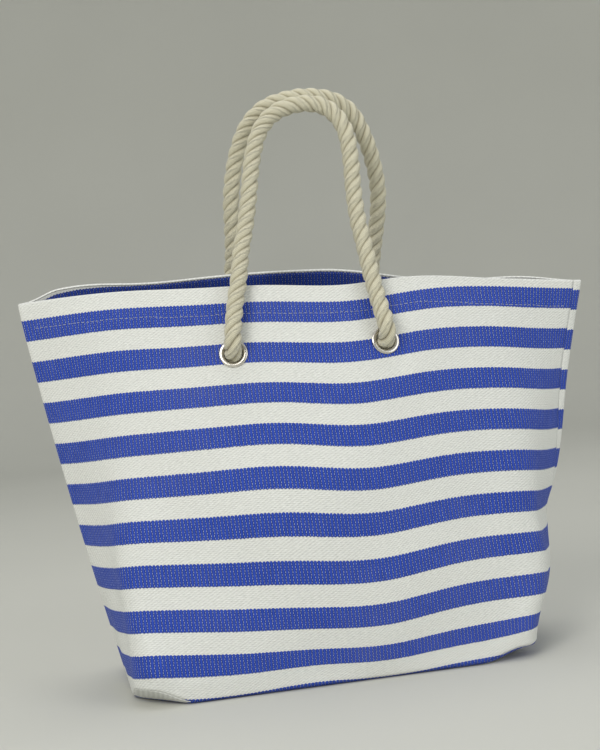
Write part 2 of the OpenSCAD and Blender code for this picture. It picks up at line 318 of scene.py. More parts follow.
def ripple(v, side, t):
    """Soft hand and dents of the stiff cloth, outward in millimetres."""
    out = 0 * v * t
    for height, across, down, phase in RIPPLES:
        out = out + height * np.sin(
            2 * math.pi * (across * v / 2 + down * t) + phase + 1.7 * side)
    # long soft folds that run up from the boxed corners
    for sign in (-1, 1):
        out = out + 2.2 * hump(sign * v - 0.62 - 0.30 * (1 - t), 0, 0.05) * ease((t - 0.45) / 0.4)
        out = out - 2.0 * hump(sign * v - 0.76 - 0.20 * (1 - t), 0, 0.06) * ease((t - 0.55) / 0.35)
    # a shallow dent low on the left and one at half height on the right
    out = out - 3.0 * hump(v, -0.35, 0.22) * hump(t, 0.72, 0.16) * (side < 0)
    out = out - 2.5 * hump(v, 0.55, 0.2) * hump(t, 0.5, 0.2) * (side < 0)
    rim = ease(t / 0.10) * 0.8 + 0.2
    return out * rim * ease((1 - t) / 0.05) * (1 - near_eyelet(v, t)) * ease((1 - np.abs(v)) / 0.04)


def tucked(x, y):
    """How far the base is folded up off the floor at its front corners, in millimetres."""
    return CORNER_TUCK * ease((-x - y - 222) / 40) + RIGHT_LIFT * ease((x - y - 208) / 42)


def corner_lift(v, side, t):
    """How far a wall's bottom edge is folded up with the base, fading out higher up."""
    ox, oy = base_outline(np.abs(v))
    x = np.sign(v) * ox - RIGHT_TUCK * ease((v - 0.50) / 0.35)
    return tucked(x, -side * oy) * ease((t - 0.76) / 0.24)


def sagged(c, t):
    """Outer face of the cloth before the base twists. c runs round the bag: -1 is the left
    fold, 0 the middle of the front, 1 the right fold and 2 the middle of the back."""
    cloth = settings().cloth
    c, t = np.broadcast_arrays(np.asarray(c, float), np.asarray(t, float))
    v, side = fold_of(c)
    h = cloth.height / MM - CLOTH_T
    slid = t - slide(v, side, t) / h
    low = np.clip(slid, 0, 1)
    x, y, z = plain_wall(v, low)
    step = 0.02
    x2, y2, z2 = plain_wall(v, np.full_like(low, step))
    x0, y0, z0 = plain_wall(v, np.zeros_like(low))
    past = np.minimum(slid, 0) / step
    x, y, z = x + past * (x2 - x0), y + past * (y2 - y0), z + past * (z2 - z0)
    y = y * np.sqrt(np.clip(1 - np.clip((np.abs(v) - 1 + FOLD_ROUND) / FOLD_ROUND, 0, 1) ** 2, 0, 1))
    x = x + 8 * ease((np.abs(v) - 0.3) / 0.7) * np.clip(1 - t, 0, 1) ** 1.5
    z = z + corner_lift(v, side, t)
    # the right side stands out over the boxed corner, with a pinch above it, and is drawn
    # in at the base
    right = ease((v - 0.50) / 0.35)
    x = x + right * (4.5 * np.clip(1 - t, 0, 1) + 9 * hump(t, 0.55, 0.2)
                     + 14 * hump(t, 0.83, 0.13) - 3 * hump(t, 0.66, 0.045)
                     - RIGHT_TUCK * ease((t - 0.86) / 0.14))
    return np.stack([x, side * y, z], -1), v, side


def twisted(p, t):
    a = settings().cloth.twist * ease((t - 0.2) / 0.8)
    x, y = p[..., 0], p[..., 1]
    return np.stack([x * np.cos(a) - y * np.sin(a), x * np.sin(a) + y * np.cos(a), p[..., 2]], -1)


def cloth_at(c, t, depth=0.0):
    """Point of the cloth in millimetres, depth below its outer face."""
    c, t, depth = np.broadcast_arrays(
        np.asarray(c, float), np.asarray(t, float), np.asarray(depth, float))
    e = 0.003
    p, v, side = sagged(c, t)
    across = sagged(c + e, t)[0] - sagged(c - e, t)[0]
    down = sagged(c, t + e)[0] - sagged(c, t - e)[0]
    n = unit(np.cross(down, across))
    edge = settings().cloth.floor_edge / MM
    low = np.clip(edge - p[..., 2] + corner_lift(v, side, t), 0, edge)
    flat_n = unit(n * np.array([1, 1, 0]))
    p = p - flat_n * (edge - np.sqrt(np.maximum(edge ** 2 - low ** 2, 0)))[..., None]
    lean = (low / edge)[..., None]
    n = unit(n * np.array([1, 1, 0]) * (1 - lean ** 2) ** 0.5 + lean * np.array([0, 0, -1])
             + n * np.array([0, 0, 1]) * (1 - lean))
    p = p + n * (ripple(v, side, t) - depth)[..., None]
    y = np.where(depth > 0, side * np.maximum(side * p[..., 1], 0.25), p[..., 1])
    p = np.stack([p[..., 0], y, p[..., 2]], -1)
    return twisted(p, t)


def level_at(c, drop):
    """Share t at a true distance below the rim, drop in millimetres along the cloth."""
    v, side = fold_of(np.asarray(c, float))
    h = settings().cloth.height / MM - CLOTH_T
    t = drop / h + 0 * v
    for _ in range(14):
        t = (drop + slide(v, side, t) - slide(v, side, 0 * t)) / h
    return t


def rim_slack(c):
    """How much further the cloth is turned in at the rim, in millimetres."""
    v, side = fold_of(np.asarray(c, float))
    front = 8 * ease((v - 0.25) / 0.45)
    back = 4.5 * ease((v - 0.25) / 0.45) + 3 * ease((-v - 0.5) / 0.5)
    return np.where(side < 0, front, back)


def weave_drift(c, t):
    """How far the stripes wander from straight, in millimetres along the cloth."""
    v, side = fold_of(np.asarray(c, float))
    drift = 4.0 * hump(v, -0.2, 0.28) * hump(t, 0.42, 0.2)
    drift = drift - 5.0 * hump(v, -0.08, 0.34) * hump(t, 0.82, 0.18)
    drift = drift + 8.0 * hump(v, 1.0, 0.3) * hump(t, 0.85, 0.25)
    drift = drift + 9.0 * ease((t - 0.90) / 0.10) * (side < 0) * ease((v + 0.5) / 0.5)
    drift = drift + 9.0 * ease((v - 0.55) / 0.2) * ease((t - 0.90) / 0.10) * (side < 0)
    return drift


# ---------------------------------------------------------------- mesh building
def new_piece(name, points, faces, material, uv=None):
    mesh = bpy.data.meshes.new(name)
    mesh.from_pydata([tuple(map(float, p)) for p in points], [], [tuple(map(int, f)) for f in faces])
    mesh.validate()
    mesh.materials.append(material)
    if uv is not None:
        layer = mesh.uv_layers.new(name="UVMap")
        index = np.empty(len(mesh.loops), int)
        mesh.loops.foreach_get("vertex_index", index)
        layer.data.foreach_set("uv", np.asarray(uv, np.float32)[index].ravel())
    mesh.shade_smooth()
    piece = bpy.data.objects.new(name, mesh)
    bpy.context.scene.collection.objects.link(piece)
    return piece


def grid_faces(rows, cols, start=0, flip=False):
    j, i = np.meshgrid(np.arange(rows - 1), np.arange(cols - 1), indexing="ij")
    a = start + j * cols + i
    quads = np.stack([a, a + cols, a + cols + 1, a + 1], -1).reshape(-1, 4)
    return quads[:, ::-1] if flip else quads


def closed_sheet(outer, inner, skip=None):
    """Closed sheet between two equal grids of points. Where skip is true for a quad, both
    faces are left out and the hole's edge is closed between them."""
    rows, cols = outer.shape[:2]
    n = rows * cols
    keep = np.ones((rows - 1, cols - 1), bool) if skip is None else ~skip
    flat = keep.ravel()
    faces = list(grid_faces(rows, cols)[flat]) + list(grid_faces(rows, cols, n, True)[flat])
    padded = np.zeros((rows + 1, cols + 1), bool)
    padded[1:-1, 1:-1] = keep

    def at(j, i):
        return j * cols + i

    for j in range(rows):
        for i in range(cols - 1):
            above, below = padded[j, i + 1], padded[j + 1, i + 1]
            if above != below:
                a, b = (at(j, i), at(j, i + 1)) if below else (at(j, i + 1), at(j, i))
                faces.append((a, b, b + n, a + n))
    for j in range(rows - 1):
        for i in range(cols):
            left, right = padded[j + 1, i], padded[j + 1, i + 1]
            if left != right:
                a, b = (at(j + 1, i), at(j, i)) if right else (at(j, i), at(j + 1, i))
                faces.append((a, b, b + n, a + n))
    points = np.concatenate([outer.reshape(-1, 3), inner.reshape(-1, 3)])
    return points, faces


def drop_loose(piece):
    bm = bmesh.new()
    bm.from_mesh(piece.data)
    bmesh.ops.delete(bm, geom=[p for p in bm.verts if not p.link_faces], context="VERTS")
    bmesh.ops.recalc_face_normals(bm, faces=bm.faces)
    bm.to_mesh(piece.data)
    bm.free()
    piece.data.shade_smooth()
    return piece


def sheet_piece(name, outer, inner, across, down, material, skip=None):
    """Closed cloth between two grids of points. Its place on the cloth is its UV map."""
    points, faces = closed_sheet(outer * MM, inner * MM, skip)
    uv = np.stack(np.broadcast_arrays(across, down), -1).reshape(-1, 2) * MM
    return drop_loose(new_piece(name, points, faces, finish(material), np.concatenate([uv, uv])))


def tube_faces(rings, sides, start=0):
    """Faces of a tube of rings of points, with a flat cap at each end."""
    faces = []
    for k in range(rings - 1):
        for q in range(sides):
            a, b = start + k * sides + q, start + k * sides + (q + 1) % sides
            faces.append((a, b, b + sides, a + sides))
    faces.append(tuple(start + q for q in range(sides))[::-1])
    faces.append(tuple(start + (rings - 1) * sides + q for q in range(sides)))
    return faces


def run_along(line):
    """Length along a line at each of its points."""
    return np.concatenate([[0], np.cumsum(np.linalg.norm(np.diff(line, axis=0), axis=1))])


def eyelet_frame(sign, side):
    """An eyelet's centre on the cloth, its outward normal and its down direction."""
    def at(v, t):
        return np.array(plain_wall(np.array(v), np.array(t)))

    v = sign * EYELET_GAP / (2 * HALF_WIDTH)
    x, y, z = at(v, EYELET_T)
    e = 0.002
    ax = at(v + e, EYELET_T) - at(v - e, EYELET_T)
    dn = at(v, EYELET_T + e) - at(v, EYELET_T - e)
    flip = np.array([1, side, 1])
    ax, dn = ax * flip, dn * flip
    n = unit(np.cross(dn, ax))
    if n[1] * side < 0:
        n = -n
    down = unit(np.array([0, 0, -1.0]) - np.dot([0, 0, -1.0], n) * n)
    return np.array([x, side * y, z]), n, down


def eyelet_matrix(sign, side):
    centre, n, down = eyelet_frame(sign, side)
    m = Matrix.Identity(4)
    for i, axis in enumerate((down, np.cross(n, down), n)):
        m.col[i][:3] = axis
    m.col[3][:3] = centre * MM
    return m


def column_line(first, last, folds):
    """Places of the mesh columns round the bag, closer together at the folds."""
    step = settings().cloth.mesh_step / (settings().cloth.mouth_width / 2)
    line = list(np.linspace(first, last, int(round((last - first) / step)) + 1))
    for fold in folds:
        line = [c for c in line if abs(c - fold) > 0.018]
        line += [fold + s * d for s in (-1, 1)
                 for d in (0.0, 0.0010, 0.0028, 0.0050, 0.0076, 0.0104, 0.0135)]
    return np.unique(np.round([c for c in line if first <= c <= last], 6))


def row_line():
    """Places of the mesh rows from the rim down, closer together at the rounded bottom."""
    h = settings().cloth.height
    line = list(np.linspace(0, 0.965, int(round(0.965 * h / settings().cloth.mesh_step))))
    return np.array(line + list(np.linspace(0.965, 1, 9))[1:])


def wall_cloth(name, first, last, side, nodes):
    folds = [f for f in (-1, 1, 3) if first <= f <= last]
    cols, rows = column_line(first, last, folds), row_line()
    c, t = np.meshgrid(cols, rows)
    outer = cloth_at(c, t)
    inner = cloth_at(c, t, CLOTH_T)
    # arc length down the cloth, for the stripes
    down = np.zeros(c.shape)
    down[1:] = np.cumsum(np.linalg.norm(np.diff(outer, axis=0), axis=2), axis=0)
    # the back cloth's stripes meet the front's a little low at the seam
    down = down + rim_slack(c) + weave_drift(c, t) - (SEAM_STEP if side > 0 else 0)
    across = c * HALF_WIDTH
    # holes for the eyelets
    skip = np.zeros((c.shape[0] - 1, c.shape[1] - 1), bool)
    for sign in (-1, 1):
        centre, n, _ = eyelet_frame(sign, side)
        off = outer - centre
        flat = off - (off @ n)[..., None] * n
        r = np.linalg.norm(flat, axis=-1)
        near = np.abs(off @ n) < 12
        mid = (r[1:, 1:] + r[:-1, 1:] + r[1:, :-1] + r[:-1, :-1]) / 4
        hole = (mid < HOLE_R) & near[1:, 1:]
        skip |= hole
        touch = np.zeros(c.shape, bool)
        for dj in (0, 1):
            for di in (0, 1):
                touch[dj:dj + hole.shape[0], di:di + hole.shape[1]] |= hole
        pull = np.where(touch, HOLE_R - r, 0)[..., None] * unit(flat)
        outer, inner = outer + pull, inner + pull
        across = across + pull[..., 0]
        down = down - pull[..., 2]
    # the rim is a fold: a rounded edge over the cloth and its turned-in hem
    cap_depth, cap_rise = [3.3, 3.1, 2.4, 1.65, 0.9, 0.2], [0.0, 0.75, 1.35, 1.6, 1.35, 0.75]
    cap = [cloth_at(cols, np.zeros_like(cols), d) + np.array([0, 0, r])
           for d, r in zip(cap_depth, cap_rise)]
    cap_down = [rim_slack(cols) + weave_drift(cols, 0 * cols) - d - r * 0.4
                for d, r in zip(cap_depth, cap_rise)]
    under = [inner[0]] + [
        cloth_at(cols, np.zeros_like(cols), CLOTH_T) + np.array([0, 0, 0.25 * r])
        for r in cap_rise[1:]]
    outer = np.concatenate([np.stack(cap), outer])
    inner = np.concatenate([np.stack(under), inner])
    down = np.concatenate([np.stack(cap_down), down])
    across = np.concatenate([np.repeat(across[:1], len(cap), 0), across])
    skip = np.concatenate([np.zeros((len(cap), skip.shape[1]), bool), skip])
    piece = sheet_piece(name, outer, inner, across, down, "striped_weave", skip)
    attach(piece, "bag")
    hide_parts(*nodes)
    return piece


def make_walls():
    for name, first, last, side, node in [
        ("front_cloth", -1 - SEAM_WRAP, 1 - SEAM_WRAP, -1, "front_panel"),
        ("back_cloth", 1 - SEAM_WRAP, 3 - SEAM_WRAP, 1, "back_panel"),
    ]:
        piece = wall_cloth(name, first, last, side, [node])


def make_base():
    """Flat cloth of the base, drawn in rings from the walls' bottom edge to the middle."""
    cloth = settings().cloth
    cols = column_line(-1, 1, [-1, 1])
    loop = np.concatenate([cols, (2 - cols[::-1])[1:]])
    edge = cloth_at(loop, np.ones_like(loop))
    ring = np.concatenate([[1.0, 0.995, 0.985, 0.97], np.linspace(0.945, 0.003, 36)])[:, None]
    x, y = ring * edge[None, :, 0], ring * edge[None, :, 1]
    # the cloth lifts a little in soft waves between the places where it bears on the floor
    inset = np.minimum(1, (1 - ring) * 6)
    wave = 0.5 * inset * (1 + np.sin(x / 34 + 0.6) * np.sin(y / 23 + 1.1))
    turn = cloth.twist
    lift = tucked(x * math.cos(turn) + y * math.sin(turn), y * math.cos(turn) - x * math.sin(turn))
    curl = 1.3 * np.exp(-(((1 - ring) / 0.02) ** 2))
    lower = np.stack([x, y, 0.02 + lift + wave + curl], -1)
    upper = lower + np.array([0, 0, CLOTH_T])
    # a folded corner shows one stripe: undyed at the left, dyed at the right
    down = EDGE_DOWN + BASE_HALF + y
    down = down + (np.where(x < 0, UNDYED_AT, DYED_AT) - down) * ease(lift / 4)
    piece = sheet_piece("base_cloth", lower, upper, x, down, "base_weave")
    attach(piece, "bag")
    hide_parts("base_panel")


def make_hems():
    """Turned-in hem inside each rim, with a raw edge that waves a little."""
    for name, middle, node in [
        ("front_hem_facing", 0, "front_hem"), ("back_hem_facing", 2, "back_hem"),
    ]:
        c = np.linspace(middle - HEM_END, middle + HEM_END, 157)
        drop = np.linspace(0, 1, 9)[:, None]
        slack = rim_slack(c)
        depth_mm = HEM_DEPTH + 0.35 * np.sin(c * 61) + 0.25 * np.sin(c * 143 + 1)
        t = level_at(c, drop * depth_mm) + 0.001
        c2, t2 = np.broadcast_arrays(c[None], t)
        sink = 1.72 + 0.25 * drop * (1 + np.sin(c2 * 37))
        outer = cloth_at(c2, t2, sink)
        inner = cloth_at(c2, t2, sink + CLOTH_T)
        down = slack[None] - 4.5 - drop * depth_mm
        piece = sheet_piece(name, outer, inner, c2 * HALF_WIDTH, down, "hem_weave")
        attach(piece, "bag")
        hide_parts(node)


def stitch(line, normal, width, height):
    """One stitch: a short rounded thread that dips into the cloth at both ends."""
    line, normal = np.asarray(line, float), np.asarray(normal, float)
    steps, sides = 5, 6
    points = []
    along = unit(line[1] - line[0])
    side = unit(np.cross(normal, along))
    for k in range(steps):
        s = k / (steps - 1)
        rise = math.sin(math.pi * (0.12 + 0.76 * s))
        centre = line[0] + (line[1] - line[0]) * s + normal * height * (rise - 0.55)
        r = 0.75 + 0.25 * rise
        for q in range(sides):
            a = 2 * math.pi * q / sides
            around = side * width / 2 * math.cos(a) + normal * height / 2 * math.sin(a)
            points.append(centre + r * around)
    return points, tube_faces(steps, sides)


def many_stitches(name, lines, normals, width, height):
    points, faces, uv = [], [], []
    for line, normal in zip(lines, normals):
        p, f = stitch(line, normal, width, height)
        faces += [tuple(i + len(points) for i in face) for face in f]
        uv += [(0.001 * (i % 6), 0.0008 * (i // 6) + 0.004 * len(points)) for i in range(len(p))]
        points += p
    piece = new_piece(name, np.array(points) * MM, faces, finish("sewing_thread"), uv)
    drop_loose(piece)
    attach(piece, "bag")
    return piece


def make_stitching():
    """Row of stitches that holds each hem, in single stitches."""
    for name, middle, node in [
        ("front_hem_stitches", 0, "front_hem_thread"), ("back_hem_stitches", 2, "back_hem_thread"),
    ]:
        pitch, length = 4.6, 2.7
        count = int(2 * STITCH_END * HALF_WIDTH / pitch)
        starts = middle - STITCH_END + np.arange(count) * pitch / HALF_WIDTH
        drop = STITCH_DROP - 0.3 * np.sin(starts * 19) - 0.25 * np.sin(starts * 47 + 2)
        level = level_at(starts, drop)
        a = cloth_at(starts, level)
        b = cloth_at(starts + length / HALF_WIDTH, level + 0.0003)
        n = unit(cloth_at(starts, level, -1.0) - a)
        piece = many_stitches(name, np.stack([a, b], 1), n, 0.5, 0.3)
        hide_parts(node)


def seam_strip(name, top, bottom_edge, thickness_dir, node):
    """A raw seam allowance of two cloth layers between two lines of points, with an
    overlocked edge of zigzag thread."""
    rows = len(top)
    share = np.linspace(0, 1, 6)[None, :, None]
    flat = top[:, None] * (1 - share) + bottom_edge[:, None] * share
    k = np.arange(rows)[:, None]
    wave = 0.35 * np.sin(k * 0.9)[:, :, None] * share * thickness_dir
    one, two = flat + wave + thickness_dir * 0.65, flat + wave - thickness_dir * 0.65
    length = run_along(top)
    across = np.linspace(0, 10, 6)[None]
    piece = sheet_piece(name, one, two, across, length[:, None], "seam_weave")
    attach(piece, "bag")
    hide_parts(node)
    edge = flat[:, 4]
    steps = np.arange(0, length[-1], 2.0)
    centre = np.stack([np.interp(steps, length, edge[:, i]) for i in range(3)], -1)
    reach = unit(np.mean(bottom_edge - top, axis=0)) * 2.2
    zig = centre + np.where(np.arange(len(centre)) % 2 == 0, -1, 1)[:, None] * reach
    lines = np.stack([zig[:-1], zig[1:]], 1)
    for label, sign in (("a", 1), ("b", -1)):
        shift = thickness_dir * 0.75 * sign
        many_stitches(f"{name}_overlock_{label}", lines + shift,
                      np.repeat(thickness_dir[None] * sign, len(lines), 0), 0.6, 0.5)


def make_seams():
    """Seam allowances inside the bag, up both sides and along the base's short ends."""
    for sign, label in ((-1, "left"), (1, "right")):
        t = np.linspace(0.1, 0.955, 60)
        fold = cloth_at(np.full_like(t, sign * 1.0), t, CLOTH_T)
        turn = settings().cloth.twist * ease((t - 0.2) / 0.8)
        into = np.stack([-sign * np.cos(turn), -sign * np.sin(turn), 0 * t], -1)
        seam_strip(f"{label}_side_allowance", fold + into * 4.5, fold + into * 13.5,
                   np.array([0, 1.0, 0]), f"{label}_side_seam")
        y = np.linspace(-48, 60, 40)
        x = np.full_like(y, sign * BASE_END - (RIGHT_TUCK if sign > 0 else 0))
        a = settings().cloth.twist
        spin = np.array([[math.cos(a), -math.sin(a), 0], [math.sin(a), math.cos(a), 0], [0, 0, 1]])
        edge = np.stack([x - sign * 6.5, y, np.full_like(y, 4.2)], -1) @ spin.T
        far = np.stack([x - sign * 14.5, y, np.full_like(y, 4.2) + 0.3 * np.sin(y / 7)], -1) @ spin.T
        seam_strip(f"{label}_corner_allowance", edge, far, np.array([0, 0, 1.0]),
                   f"{label}_corner_seam")


# ---------------------------------------------------------------- metal
def lathe(name, profile, matrix, material, sides=72):
    """Turned piece: profile is a closed loop of (radius, height) in millimetres."""
    profile = np.array(profile, float)
    n = len(profile)
    a = np.linspace(0, 2 * math.pi, sides, endpoint=False)
    # a pressed ring is never quite round or level; only its roundness is varied here
    wobble = 1 + 0.0016 * np.sin(3 * a + matrix.col[3][0] * 90)
    points = np.stack([
        np.outer(np.cos(a) * wobble, profile[:, 0]), np.outer(np.sin(a) * wobble, profile[:, 0]),
        np.repeat(profile[None, :, 1], sides, 0)], -1).reshape(-1, 3) * MM
    faces = []
    for k in range(sides):
        for q in range(n):
            r = (q + 1) % n
            after = (k + 1) % sides
            faces.append((k * n + q, after * n + q, after * n + r, k * n + r))
    run = run_along(profile)
    uv = [(a[k] * 10 * MM, run[q] * MM) for k in range(sides) for q in range(n)]
    piece = new_piece(name, points, faces, material, uv)
    piece.data.transform(matrix)
    drop_loose(piece)
    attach(piece, "bag")
    return piece


def make_eyelets():
    """Rolled eyelets outside and their washers inside."""
    roll = settings().metal.roll / MM
    flange = [(BORE_R + 0.12, -1.6), (BORE_R, -0.4), (BORE_R + 0.08, 0.7)]
    mid, half = (BORE_R + FLANGE_R) / 2, (FLANGE_R - BORE_R) / 2
    for k in range(13):
        a = math.pi * (1 - k / 12)
        flange.append((mid + half * math.cos(a) * 0.98, 0.42 + (roll - 0.3) * math.sin(a) ** 0.8))
    flange += [(FLANGE_R - 0.25, 0.14), (TUBE_R + 0.3, 0.12), (TUBE_R, -0.5), (TUBE_R, -1.9),
               (TUBE_R + 0.35, -2.6), (TUBE_R + 0.9, -3.0), (TUBE_R + 0.7, -3.4),
               (TUBE_R - 0.1, -3.4), (BORE_R + 0.2, -2.8)]
    rim = [(TUBE_R + 0.25, -2.02), (FLANGE_R - 0.6, -2.02), (FLANGE_R - 0.1, -2.2),
           (FLANGE_R - 0.05, -2.6), (FLANGE_R - 0.4, -2.95), (FLANGE_R - 1.4, -2.98),
           (TUBE_R + 1.2, -2.9), (TUBE_R + 0.4, -2.5)]
    for side, face in ((-1, "front"), (1, "back")):
        for sign, hand in ((-1, "left"), (1, "right")):
            m = eyelet_matrix(sign, side)
            piece = lathe(f"{face}_{hand}_rolled_eyelet", flange, m, finish("nickel_plate"))
            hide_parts(f"{face}_{hand}_eyelet")
            piece = lathe(f"{face}_{hand}_pressed_washer", rim, m, finish("nickel_plate"))
            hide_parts(f"{face}_{hand}_washer")


# ---------------------------------------------------------------- rope
def smooth_line(points, step):
    """Smooth curve through points, with a point every step."""
    p = np.asarray(points, float)
    out = []
    for i in range(len(p) - 1):
        a, b, c, d = p[max(i - 1, 0)], p[i], p[i + 1], p[min(i + 2, len(p) - 1)]
        # centripetal spacing keeps the curve from looping where points are close
        ta, tb = 0, np.linalg.norm(b - a) ** 0.5 or 1e-3
        tc = tb + np.linalg.norm(c - b) ** 0.5
        td = tc + (np.linalg.norm(d - c) ** 0.5 or 1e-3)
        for u in np.linspace(tb, tc, 24, endpoint=False):
            a1 = b if i == 0 else ((tb - u) * a + (u - ta) * b) / (tb - ta)
            a2 = ((tc - u) * b + (u - tb) * c) / (tc - tb)
            a3 = c if i == len(p) - 2 else ((td - u) * c + (u - tc) * d) / (td - tc)
            b1 = a2 if i == 0 else ((tc - u) * a1 + (u - ta) * a2) / (tc - ta)
            b2 = a2 if i == len(p) - 2 else ((td - u) * a2 + (u - tb) * a3) / (td - tb)
            out.append(((tc - u) * b1 + (u - tb) * b2) / (tc - tb))
    out.append(p[-1])
    out = np.array(out)
    run = run_along(out)
    at = np.linspace(0, run[-1], max(int(round(run[-1] / step)), 2) + 1)
    return np.stack([np.interp(at, run, out[:, k]) for k in range(3)], -1)


def carried_frames(line):
    """Tangents and two side directions carried along a line without spinning."""
    tangent = unit(np.gradient(line, axis=0))
    side = np.zeros_like(line)
    first = np.cross(tangent[0], [0.0, 1.0, 0.0])
    if np.linalg.norm(first) < 0.2:
        first = np.cross(tangent[0], [1.0, 0.0, 0.0])
    side[0] = unit(first)
    for i in range(1, len(line)):
        s = side[i - 1] - (side[i - 1] @ tangent[i]) * tangent[i]
        side[i] = unit(s)
    return tangent, side, np.cross(tangent, side)


def strand_rope(name, line, lay, diameter, turn0=0.0, fray=0.0):
    """Three strands laid right-handed round a line, as one mesh. Lengths in millimetres."""
    tangent, side, up = carried_frames(line)
    run = run_along(line)
    reach, thick = diameter * 0.260, diameter * 0.246
    sides = 16
    n = len(line)
    points, faces, uv, crown = [], [], [], []
    ends = np.minimum(run, run[-1] - run)
    for k in range(3):
        turn = turn0 + 2 * math.pi * (k / 3 + run / lay)
        out = np.cos(turn)[:, None] * side + np.sin(turn)[:, None] * up
        spread = 1 + fray * ease((run - run[-1] + 9) / 9)
        centre = line + out * (reach * spread)[:, None]
        along = unit(np.gradient(centre, axis=0))
        e1 = unit(out - (out * along).sum(1, keepdims=True) * along)
        e2 = np.cross(along, e1)
        soft = 1 + 0.025 * np.sin(run / 5.3 + 2 * k) + 0.02 * np.sin(run / 2.1 + k)
        # rounded ends
        close = np.sqrt(np.clip(1 - (1 - np.clip(ends / (thick * 0.8), 0, 1)) ** 2, 0.0, 1))
        size = thick * soft * np.maximum(close, 0.12)
        base = len(points)
        for i in range(n):
            for q in range(sides):
                a = 2 * math.pi * q / sides
                flat = 1.0 - 0.04 * max(0.0, math.cos(a)) ** 3
                p = centre[i] + size[i] * (flat * math.cos(a) * e1[i] + 1.06 * math.sin(a) * e2[i])
                points.append(p)
                uv.append((q / sides * 2 * math.pi * thick * MM, run[i] * MM))
                off = p - line[i]
                r = np.linalg.norm(off - (off @ tangent[i]) * tangent[i])
                crown.append(min(1.0, r / (diameter / 2)))
        faces += tube_faces(n, sides, base)
    piece = new_piece(name, np.array(points) * MM, faces, finish("cotton_strands"), uv)
    # crown: how far out from the rope's centre a point lies, which the finish uses to paint shade in the
    # grooves between strands
    layer = piece.data.attributes.new("crown", "FLOAT", "POINT")
    layer.data.foreach_set("value", np.array(crown, np.float32))
    return piece


def handle_line(route, side):
    """Centre line of a handle from inside its left knot to inside its right one, in mm."""
    route = np.array(route) / MM
    ends = []
    for sign, k in ((-1, 2), (1, -3)):
        centre, n, _ = eyelet_frame(sign, side)
        goal = route[k] - centre
        up = unit(goal - (goal @ n) * n)
        arc = [centre + BEND_R * (n * math.sin(a) + up * (1 - math.cos(a)))
               for a in np.radians([0, 22.5, 45, 67.5, 90])]
        ends.append([centre - n * 12, centre - n * 6] + arc)
    return smooth_line(np.array(ends[0] + list(route[2:-2]) + ends[1][::-1]), 2.0)


def make_handles():
    """Two rope handles of three strands, each from eyelet to eyelet."""
    rope = settings().rope
    for face, side, route in (("front", -1, FRONT_ROUTE), ("back", 1, BACK_ROUTE)):
        line = handle_line(route, side)
        piece = strand_rope(f"{face}_rope_handle", line, rope.lay / MM, rope.diameter / MM,
                            turn0=0.6 + side)
        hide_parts(f"{face}_handle")
        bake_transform(piece)


def knot_line(sign, side):
    """Centre line of the stopper knot behind an eyelet and of its tail, in millimetres."""
    centre, n, down = eyelet_frame(sign, side)
    cross = np.cross(n, down)
    middle = -ROPE_EXIT - 14.5
    size, thick = 3.75, 6.0
    loop = []
    for tau in np.linspace(0.42, 0.42 + 2 * math.pi * 0.86, 26):
        a = math.sin(tau) + 2 * math.sin(2 * tau)
        b = math.cos(tau) - 2 * math.cos(2 * tau)
        loop.append((b * size, sign * a * size, middle - thick * math.sin(3 * tau)))
    tail = settings().rope.tail / MM
    last = loop[-1]
    path = [(0, 0, -3.0), (0, 0, -ROPE_EXIT - 1.5)] + loop
    path += [(last[0] + 10, last[1] * 0.7, middle - 2),
             (last[0] + 10 + tail * 0.5, last[1] * 0.6, middle),
             (last[0] + 10 + tail, last[1] * 0.7, middle + 2)]
    return np.array([centre + p[0] * down + p[1] * cross + p[2] * n for p in path])


def make_knots():
    """Stopper knot and whipped tail behind each eyelet."""
    rope = settings().rope
    for side, face in ((-1, "front"), (1, "back")):
        for sign, hand in ((-1, "left"), (1, "right")):
            line = smooth_line(knot_line(sign, side), 2.2)
            piece = strand_rope(f"{face}_{hand}_knot", line, rope.lay / MM,
                                rope.diameter / MM * 0.97, turn0=sign + 0.5 * side, fray=0.22)
            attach(piece, "bag")
            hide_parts(f"{face}_{hand}_rope_end")
            # whipping: fine twine wound round the tail
            tangent, across, up = carried_frames(line)
            k = len(line) - 9
            turns, r = 6, rope.diameter / MM * 0.5
            a = np.linspace(0, 2 * math.pi * turns, turns * 20)
            spiral = line[k] + np.outer(np.linspace(-2.6, 2.6, len(a)), tangent[k]) \
                + np.outer(np.cos(a) * r, across[k]) + np.outer(np.sin(a) * r, up[k])
            twine = round_cord(f"{face}_{hand}_whipping", spiral, 0.5)
            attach(twine, "bag")


def round_cord(name, line, radius):
    _, side, up = carried_frames(line)
    sides, n = 8, len(line)
    a = np.linspace(0, 2 * math.pi, sides, endpoint=False)
    ring = np.cos(a)[None, :, None] * side[:, None] + np.sin(a)[None, :, None] * up[:, None]
    points = (line[:, None] + ring * radius).reshape(-1, 3)
    uv = [(q * 0.0004, i * 0.0009) for i in range(n) for q in range(sides)]
    faces = tube_faces(n, sides)
    return drop_loose(new_piece(name, points * MM, faces, finish("sewing_thread"), uv))


